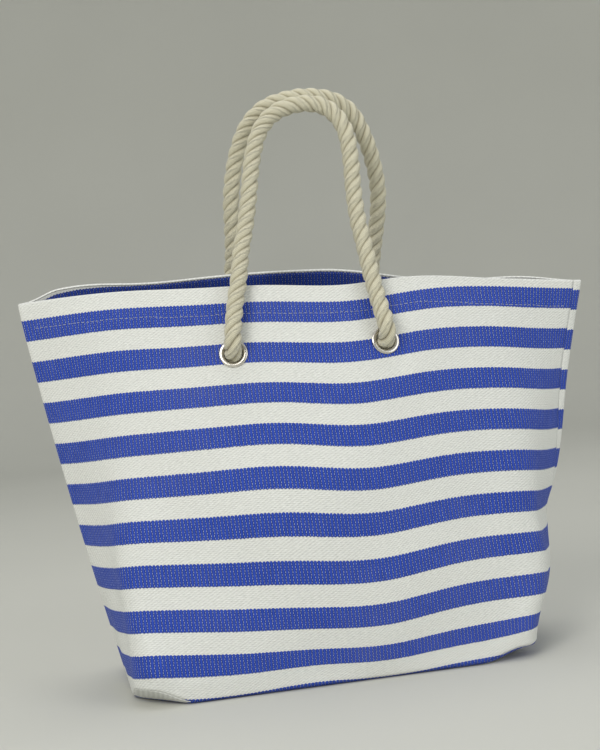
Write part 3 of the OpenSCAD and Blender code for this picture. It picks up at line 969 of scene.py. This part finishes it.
# ---------------------------------------------------------------- finishes
class Wiring:
    """Short ways to place and join shader nodes in one tree."""

    def __init__(self, tree):
        self.tree = tree

    def join(self, socket, value):
        if isinstance(value, bpy.types.NodeSocket):
            self.tree.links.new(value, socket)
        elif value is not None:
            channels = len(socket.default_value) if hasattr(socket.default_value, "__len__") else 1
            if channels == 4 and len(value) == 3:
                value = (*value, 1.0)
            socket.default_value = value

    def node(self, kind, **sockets):
        node = self.tree.nodes.new(kind)
        for name, value in sockets.items():
            self.join(node.inputs[name], value)
        return node

    def group(self, tree, sockets):
        node = self.tree.nodes.new("ShaderNodeGroup")
        node.node_tree = tree
        for name, value in sockets.items():
            self.join(node.inputs[name], value)
        return node.outputs

    def calc(self, kind, *values, clamp=False):
        node = self.tree.nodes.new("ShaderNodeMath")
        node.operation, node.use_clamp = kind, clamp
        for socket, value in zip(node.inputs, values):
            self.join(socket, value)
        return node.outputs[0]

    def plus(self, a, b, clamp=False):
        return self.calc("ADD", a, b, clamp=clamp)

    def minus(self, a, b, clamp=False):
        return self.calc("SUBTRACT", a, b, clamp=clamp)

    def times(self, a, b, clamp=False):
        return self.calc("MULTIPLY", a, b, clamp=clamp)

    def over(self, a, b):
        return self.calc("DIVIDE", a, b)

    def mix(self, share, a, b, blend="MIX"):
        node = self.tree.nodes.new("ShaderNodeMix")
        node.data_type, node.blend_type = "RGBA", blend
        self.join(node.inputs[0], share)
        self.join(node.inputs[6], a)
        self.join(node.inputs[7], b)
        return node.outputs[2]

    def blend(self, share, a, b):
        node = self.tree.nodes.new("ShaderNodeMix")
        node.data_type = "FLOAT"
        self.join(node.inputs[0], share)
        self.join(node.inputs[2], a)
        self.join(node.inputs[3], b)
        return node.outputs[0]

    def spread(self, value, low, high, to_low, to_high):
        node = self.tree.nodes.new("ShaderNodeMapRange")
        for socket, x in zip(node.inputs, (value, low, high, to_low, to_high)):
            self.join(socket, x)
        return node.outputs[0]

    def noise(self, vector, scale, detail=2.0, rough=0.5):
        node = self.tree.nodes.new("ShaderNodeTexNoise")
        self.join(node.inputs["Vector"], vector)
        node.inputs["Scale"].default_value = scale
        node.inputs["Detail"].default_value = detail
        node.inputs["Roughness"].default_value = rough
        return node.outputs["Fac"]

    def vector(self, x, y, z=0.0):
        return self.node("ShaderNodeCombineXYZ", X=x, Y=y, Z=z).outputs[0]


def new_group(name, inputs, outputs):
    group = bpy.data.node_groups.new(name, "ShaderNodeTree")
    kinds = {"value": "NodeSocketFloat", "colour": "NodeSocketColor", "vector": "NodeSocketVector"}
    for label, kind, default in inputs:
        socket = group.interface.new_socket(name=label, in_out="INPUT", socket_type=kinds[kind])
        if default is not None:
            socket.default_value = (*default, 1.0) if kind == "colour" else default
    for label, kind in outputs:
        group.interface.new_socket(name=label, in_out="OUTPUT", socket_type=kinds[kind])
    wire = Wiring(group)
    enter, leave = group.nodes.new("NodeGroupInput"), group.nodes.new("NodeGroupOutput")
    return group, wire, enter.outputs, leave.inputs


def weave_group():
    """Ribbed stripe weave: colour, height and roughness from the cloth's own measures."""
    if "ribbed stripe weave" in bpy.data.node_groups:
        return bpy.data.node_groups["ribbed stripe weave"]
    group, w, enter, leave = new_group(
        "ribbed stripe weave",
        [("Across", "value", 0.0), ("Down", "value", 0.0), ("Dyed yarn", "colour", (0.05, 0.09, 0.4)),
         ("Undyed yarn", "colour", (0.8, 0.8, 0.76)), ("Warp glint", "colour", (0.4, 0.45, 0.7)),
         ("Stripe repeat", "value", 38.1), ("First stripe", "value", 15.0), ("Rib width", "value", 3.1),
         ("Dyed share", "value", 1.0)],
        [("Colour", "colour"), ("Height", "value"), ("Roughness", "value")])
    across, down = enter["Across"], enter["Down"]
    rib_at = w.over(across, enter["Rib width"])
    rib = w.calc("ABSOLUTE", w.calc("SINE", w.times(rib_at, math.pi)))
    rib_no = w.calc("FLOOR", rib_at)
    place = w.vector(across, down)
    # the edge of a stripe steps with the ribs and wanders a little
    wander = w.times(w.minus(w.noise(place, 0.35, 1.0), 0.5), 0.9)
    level = w.plus(w.plus(down, w.times(rib, 0.85)), wander)
    repeats = w.over(w.minus(level, enter["First stripe"]), enter["Stripe repeat"])
    phase = w.calc("FRACT", w.plus(repeats, 10.0))
    inside = w.minus(0.25, w.calc("ABSOLUTE", w.minus(phase, 0.25)))
    mask = w.plus(w.times(w.times(inside, enter["Stripe repeat"]), 2.2), 0.5, clamp=True)
    mask = w.times(mask, enter["Dyed share"])
    # pale warp in short dashes between the ribs, staggered from rib to rib
    stagger = w.calc("FRACT", w.times(rib_no, 0.5))
    dash_at = w.calc("FRACT", w.plus(w.over(down, 4.2), w.plus(stagger, 20.0)))
    off_middle = w.calc("ABSOLUTE", w.minus(dash_at, 0.5))
    dash_on = w.times(w.minus(0.22, off_middle), 7.0, clamp=True)
    in_groove = w.minus(1.15, w.times(rib, 2.0), clamp=True)
    patch_at = w.vector(w.times(rib_no, 0.37), w.times(down, 0.05))
    patchy = w.spread(w.noise(patch_at, 1.6, 2.0), 0.35, 0.65, 0.6, 1.0)
    dash = w.times(w.times(dash_on, in_groove), patchy)
    # undyed stripes: a fine slanting twill over a level grain
    slant = w.plus(w.over(across, 4.1), w.over(down, 2.7))
    twill = w.calc("SINE", w.times(slant, 2 * math.pi))
    grain = w.calc("SINE", w.times(w.over(down, 1.6), 2 * math.pi))
    slub = w.noise(w.vector(w.times(across, 0.35), down), 0.8, 3.0, 0.6)
    streak = w.noise(w.vector(across, w.times(down, 0.06)), 0.8, 2.0, 0.5)
    pale = w.plus(w.plus(w.times(twill, 0.065), w.times(grain, 0.035)),
                  w.spread(slub, 0.3, 0.7, 0.88, 1.05))
    white = w.mix(1.0, enter["Undyed yarn"], w.vector(pale, pale, pale), "MULTIPLY")
    # painted shade and highlight: the blue is drawn darker in the grooves between ribs and lighter on
    # their crests, times random streaks of tone
    painted_shade_and_tone = w.times(w.spread(rib, 0.0, 1.0, 0.38, 1.20), w.spread(streak, 0.3, 0.7, 0.88, 1.12))
    blue = w.mix(1.0, enter["Dyed yarn"], w.vector(painted_shade_and_tone, painted_shade_and_tone, painted_shade_and_tone), "MULTIPLY")
    blue = w.mix(w.times(dash, 0.95, clamp=True), blue, enter["Warp glint"])
    w.join(leave["Colour"], w.mix(mask, white, blue))
    high_white = w.plus(w.times(twill, 0.16), w.plus(w.times(grain, 0.10), w.times(slub, 0.5)))
    high_blue = w.plus(w.calc("POWER", rib, 0.6), w.times(dash, 0.35))
    w.join(leave["Height"], w.blend(mask, high_white, high_blue))
    w.join(leave["Roughness"], w.blend(mask, 0.80, w.spread(rib, 0.0, 1.0, 0.72, 0.58)))
    return group


def handling_group():
    """Faint soiling and fading from use, over any finish."""
    if "signs of handling" in bpy.data.node_groups:
        return bpy.data.node_groups["signs of handling"]
    group, w, enter, leave = new_group(
        "signs of handling",
        [("Colour", "colour", (0.8, 0.8, 0.8)), ("Place", "vector", None), ("Amount", "value", 0.5),
         ("Soil", "colour", (0.45, 0.40, 0.32))],
        [("Colour", "colour")])
    broad = w.noise(enter["Place"], 7.0, 3.0, 0.55)
    fine = w.noise(enter["Place"], 60.0, 3.0, 0.6)
    cloud = w.times(w.spread(broad, 0.45, 0.75, 0.0, 1.0), w.spread(fine, 0.35, 0.65, 0.5, 1.0))
    share = w.times(cloud, w.times(enter["Amount"], 0.18), clamp=True)
    w.join(leave["Colour"], w.mix(share, enter["Colour"], enter["Soil"]))
    return group


def yarn_group():
    """Twisted yarns along a strand: a painted shade between yarns, times random tone, and a height."""
    if "twisted yarn" in bpy.data.node_groups:
        return bpy.data.node_groups["twisted yarn"]
    group, w, enter, leave = new_group(
        "twisted yarn",
        [("Around", "value", 0.0), ("Along", "value", 0.0), ("Yarn width", "value", 2.0),
         ("Slope", "value", 0.4)],
        [("Shade", "value"), ("Height", "value")])
    at = w.plus(enter["Around"], w.times(enter["Along"], enter["Slope"]))
    wave = w.calc("SINE", w.times(w.over(at, enter["Yarn width"]), math.pi))
    yarn = w.calc("POWER", w.calc("ABSOLUTE", wave), 0.7)
    hair = w.noise(w.vector(w.times(at, 2.2), w.times(enter["Along"], 0.35)), 1.4, 4.0, 0.65)
    # painted shade: darker between the yarns and lighter on their crowns, times random hairy tone
    painted_shade_and_tone = w.times(w.spread(yarn, 0, 1, 0.78, 1.04), w.spread(hair, 0.3, 0.7, 0.84, 1.08))
    w.join(leave["Shade"], painted_shade_and_tone)
    w.join(leave["Height"], w.plus(w.times(yarn, 0.7), w.times(hair, 0.6)))
    return group


def measures(w):
    """A piece's own measures across and down, from its UV map, in millimetres."""
    uv = w.node("ShaderNodeUVMap")
    uv.uv_map = "UVMap"
    parts = w.node("ShaderNodeSeparateXYZ", Vector=uv.outputs[0]).outputs
    return w.times(parts[0], 1000.0), w.times(parts[1], 1000.0)


def worn_colour(w, shader, colour, amount):
    """Join a colour to the shader by way of the signs of handling."""
    place = w.node("ShaderNodeTexCoord").outputs["Object"]
    wear = w.group(handling_group(), {"Colour": colour, "Place": place, "Amount": amount})
    w.join(shader.inputs["Base Color"], wear["Colour"])


def fibre_sheen(shader, weight, roughness, specular):
    shader.inputs["Sheen Weight"].default_value = weight
    shader.inputs["Sheen Roughness"].default_value = roughness
    shader.inputs["Specular IOR Level"].default_value = specular


def cloth_material(name, dyed_share, painted_shade_scale=1.0, bump=0.8):
    stripes = settings().stripes
    material, w, shader = bare_material(name)
    across, down = measures(w)
    # every yarn colour is scaled down here to paint shade on a copy of the cloth
    weave = w.group(weave_group(), {
        "Across": across, "Down": down,
        "Dyed yarn": [x * painted_shade_scale for x in stripes.blue],
        "Undyed yarn": [x * painted_shade_scale for x in stripes.white],
        "Warp glint": [x * painted_shade_scale for x in stripes.glint],
        "Stripe repeat": stripes.pitch / MM, "First stripe": stripes.first / MM,
        "Rib width": stripes.rib / MM, "Dyed share": dyed_share,
    })
    worn_colour(w, shader, weave["Colour"], 0.35)
    w.join(shader.inputs["Roughness"], weave["Roughness"])
    fibre_sheen(shader, 0.05, 0.5, 0.18)
    relief(w, shader, weave["Height"], bump, 0.0007)
    return material


def bare_material(name):
    material = bpy.data.materials.new(name)
    material.use_nodes = True
    return material, Wiring(material.node_tree), material.node_tree.nodes["Principled BSDF"]


def relief(w, shader, height, strength, distance):
    bump = w.node("ShaderNodeBump", Strength=strength, Distance=distance, Height=height)
    w.join(shader.inputs["Normal"], bump.outputs[0])


def yarn_material(name, colour, yarn_width, slope, crown, rough):
    material, w, shader = bare_material(name)
    around, along = measures(w)
    yarn = w.group(yarn_group(), {
        "Around": around, "Along": along, "Yarn width": yarn_width, "Slope": slope})
    painted_shade_and_tone = yarn["Shade"]
    tint = w.mix(1.0, colour, w.vector(painted_shade_and_tone, painted_shade_and_tone, painted_shade_and_tone), "MULTIPLY")
    if crown:
        # painted shade: the grooves between strands are drawn darker and browner
        depth = w.node("ShaderNodeAttribute")
        depth.attribute_name = "crown"
        share = w.spread(depth.outputs["Fac"], 0.62, 0.90, 0.75, 0.0)
        tint = w.mix(share, tint, [x * k for x, k in zip(colour, (0.42, 0.38, 0.30))])
    worn_colour(w, shader, tint, 0.8)
    w.join(shader.inputs["Roughness"], w.spread(painted_shade_and_tone, 0.75, 1.05, rough + 0.06, rough - 0.04))
    fibre_sheen(shader, 0.2, 0.6, 0.25)
    relief(w, shader, yarn["Height"], 0.8, 0.0006)
    return material


def nickel_material(name):
    metal = settings().metal
    material, w, shader = bare_material(name)
    place = w.node("ShaderNodeTexCoord").outputs["Object"]
    fine = w.noise(place, 900.0, 3.0, 0.6)
    cloud = w.noise(place, 120.0, 2.0, 0.5)
    dull = w.spread(cloud, 0.35, 0.7, 0.0, 0.35)
    tint = w.mix(dull, list(metal.colour), (0.55, 0.50, 0.42))
    w.join(shader.inputs["Base Color"], tint)
    rough = w.plus(w.spread(fine, 0.3, 0.7, 0.20, 0.28), w.times(dull, 0.25))
    w.join(shader.inputs["Roughness"], rough)
    shader.inputs["Metallic"].default_value = 1.0
    relief(w, shader, cloud, 0.05, 0.0002)
    return material


MAKERS = {
    "striped_weave": lambda: cloth_material("striped_weave", 1.0),
    # painted shade: the hem, base and seam copies of the cloth have their colours scaled darker, for the
    # inside and underside of the bag
    "hem_weave": lambda: cloth_material("hem_weave", 1.0, 0.62),
    "base_weave": lambda: cloth_material("base_weave", 1.0, 0.92, 0.6),
    "seam_weave": lambda: cloth_material("seam_weave", 0.0, 0.94, 0.6),
    "sewing_thread": lambda: yarn_material("sewing_thread", (0.66, 0.70, 0.82), 0.35, 0.9, False, 0.6),
    "cotton_strands": lambda: yarn_material(
        "cotton_strands", tuple(settings().rope.colour), 1.55, -0.32, True, 0.86),
    "nickel_plate": lambda: nickel_material("nickel_plate"),
}


def finish(name):
    """The material of that name, made the first time it is asked for."""
    return bpy.data.materials.get(name) or MAKERS[name]()


# ---------------------------------------------------------------- stage
def make_stage():
    stage = settings().stage
    material, w, shader = bare_material("studio_paper")
    place = w.node("ShaderNodeTexCoord").outputs["Object"]
    tone = w.spread(w.noise(place, 2.0, 2.0), 0.3, 0.7, 0.985, 1.015)
    colour = w.mix(1.0, list(stage.floor_colour), w.vector(tone, tone, tone), "MULTIPLY")
    w.join(shader.inputs["Base Color"], colour)
    shader.inputs["Roughness"].default_value = 0.9
    shader.inputs["Specular IOR Level"].default_value = 0.15
    # floor that turns up into a backdrop all round, far behind the bag
    reach, radius, top = 2.4, 1.2, 3.4
    outline = [(r, 0.0) for r in np.linspace(0.05, reach, 14)]
    outline += [(reach + radius * math.sin(a), radius * (1 - math.cos(a)))
                for a in np.linspace(0, math.pi / 2, 16)[1:]]
    outline += [(reach + radius, z) for z in np.linspace(radius, top, 6)[1:]]
    sides = 96
    points = [(0.0, 0.0, 0.0)] + [
        (r * math.cos(2 * math.pi * k / sides), r * math.sin(2 * math.pi * k / sides), z)
        for r, z in outline for k in range(sides)]
    faces = [(0, 1 + k, 1 + (k + 1) % sides) for k in range(sides)]
    for j in range(len(outline) - 1):
        for k in range(sides):
            a, b = 1 + j * sides + k, 1 + j * sides + (k + 1) % sides
            faces.append((a, a + sides, b + sides, b))
    floor = new_piece("studio_floor", points, faces, material)
    drop_loose(floor)

    world = bpy.data.worlds.new("studio")
    world.use_nodes = True
    sky = world.node_tree.nodes["Background"]
    sky.inputs[0].default_value = (0.93, 0.96, 1.0, 1.0)
    sky.inputs[1].default_value = 0.50
    bpy.context.scene.world = world
    for label, place, aim, size, power, colour in [
        ("key", (-1.5, -2.2, 1.9), (0, 0, 0.3), 1.6, stage.key_power, (1.0, 0.985, 0.95)),
        ("fill", (2.1, -1.9, 1.2), (0, 0, 0.25), 1.8, stage.fill_power, (0.95, 0.97, 1.0)),
        ("top", (0.1, 0.3, 2.4), (0, 0, 0.3), 1.6, stage.top_power, (1.0, 0.99, 0.96)),
    ]:
        data = bpy.data.lights.new(f"{label}_light", "AREA")
        data.shape, data.size, data.energy, data.color = "DISK", size, power, colour
        light = bpy.data.objects.new(f"{label}_light", data)
        light.location = place
        light.rotation_euler = (Vector(aim) - Vector(place)).to_track_quat("-Z", "Y").to_euler()
        bpy.context.scene.collection.objects.link(light)

    # camera a little to the left of square on, between the height of the eyelets and the rim
    azimuth, elevation, roll = math.radians(-7.0), math.radians(1.8), math.radians(-4.9)
    distance, target = 1.25, Vector((-0.0043, 0.0, 0.2673))
    forward = Vector((-math.sin(azimuth) * math.cos(elevation),
                      math.cos(azimuth) * math.cos(elevation), -math.sin(elevation)))
    right = forward.cross(Vector((0, 0, 1))).normalized()
    up = right.cross(forward)
    right, up = (math.cos(roll) * right + math.sin(roll) * up,
                 -math.sin(roll) * right + math.cos(roll) * up)
    data = bpy.data.cameras.new("camera")
    data.lens, data.sensor_width = 64.85, 36.0
    data.clip_start, data.clip_end = 0.05, 20.0
    camera = bpy.data.objects.new("camera", data)
    turn = Matrix((right, up, -forward)).transposed().to_4x4()
    camera.matrix_world = Matrix.Translation(target - forward * distance) @ turn
    bpy.context.scene.collection.objects.link(camera)
    bpy.context.scene.camera = camera
    bpy.context.scene.view_settings.view_transform = "Standard"


# ---------------------------------------------------------------- operators and panel
class BEACHBAG_OT_base(bpy.types.Operator):
    """Make the flat base of striped cloth"""
    bl_idname = "beachbag.base"
    bl_label = "Base cloth"

    def execute(self, context):
        make_base()
        return {"FINISHED"}


class BEACHBAG_OT_walls(bpy.types.Operator):
    """Make the sagging front and back cloth, with holes for the eyelets"""
    bl_idname = "beachbag.walls"
    bl_label = "Front and back cloth"

    def execute(self, context):
        make_walls()
        return {"FINISHED"}


class BEACHBAG_OT_hems(bpy.types.Operator):
    """Make the hems that are turned in at the rim"""
    bl_idname = "beachbag.hems"
    bl_label = "Turned-in hems"

    def execute(self, context):
        make_hems()
        return {"FINISHED"}


class BEACHBAG_OT_stitching(bpy.types.Operator):
    """Make the stitches that hold the hems"""
    bl_idname = "beachbag.stitching"
    bl_label = "Hem stitches"

    def execute(self, context):
        make_stitching()
        return {"FINISHED"}


class BEACHBAG_OT_seams(bpy.types.Operator):
    """Make the side and corner seam allowances inside the bag"""
    bl_idname = "beachbag.seams"
    bl_label = "Seams"

    def execute(self, context):
        make_seams()
        return {"FINISHED"}


class BEACHBAG_OT_eyelets(bpy.types.Operator):
    """Make the four rolled eyelets and their washers"""
    bl_idname = "beachbag.eyelets"
    bl_label = "Eyelets and washers"

    def execute(self, context):
        make_eyelets()
        return {"FINISHED"}


class BEACHBAG_OT_knots(bpy.types.Operator):
    """Make the four stopper knots with their whipped tails"""
    bl_idname = "beachbag.knots"
    bl_label = "Rope knots"

    def execute(self, context):
        make_knots()
        return {"FINISHED"}


class BEACHBAG_OT_handles(bpy.types.Operator):
    """Make the two rope handles"""
    bl_idname = "beachbag.handles"
    bl_label = "Rope handles"

    def execute(self, context):
        make_handles()
        return {"FINISHED"}


class BEACHBAG_OT_stage(bpy.types.Operator):
    """Make the floor, the studio lights and the camera"""
    bl_idname = "beachbag.stage"
    bl_label = "Stage"

    def execute(self, context):
        make_stage()
        return {"FINISHED"}


STEPS = (
    BEACHBAG_OT_base, BEACHBAG_OT_walls, BEACHBAG_OT_hems, BEACHBAG_OT_stitching,
    BEACHBAG_OT_seams, BEACHBAG_OT_eyelets, BEACHBAG_OT_knots, BEACHBAG_OT_handles,
    BEACHBAG_OT_stage,
)


class BEACHBAG_PT_pieces(bpy.types.Panel):
    """Pieces of the beach bag and their sizes"""
    bl_idname = "BEACHBAG_PT_pieces"
    bl_label = "Striped beach bag"
    bl_space_type = "VIEW_3D"
    bl_region_type = "UI"
    bl_category = "Beach bag"

    def draw(self, context):
        bag = context.scene.beach_bag
        for group in (bag.cloth, bag.stripes, bag.rope, bag.metal, bag.stage):
            box = self.layout.box()
            for name in group.__annotations__:
                box.prop(group, name)
        column = self.layout.column(align=True)
        for step in STEPS:
            column.operator(step.bl_idname, text=step.bl_label)


CLASSES = (BagCloth, BagStripes, BagRope, BagMetal, BagStage, BagSettings, *STEPS, BEACHBAG_PT_pieces)


def register():
    for cls in CLASSES:
        bpy.utils.register_class(cls)
    bpy.types.Scene.beach_bag = PointerProperty(type=BagSettings)


def unregister():
    del bpy.types.Scene.beach_bag
    for cls in reversed(CLASSES):
        bpy.utils.unregister_class(cls)


def main():
    register()
    bpy.ops.beachbag.base()
    bpy.ops.beachbag.walls()
    bpy.ops.beachbag.hems()
    bpy.ops.beachbag.stitching()
    bpy.ops.beachbag.seams()
    bpy.ops.beachbag.eyelets()
    bpy.ops.beachbag.knots()
    bpy.ops.beachbag.handles()
    bpy.ops.beachbag.stage()


if __name__ == "__main__":
    main()
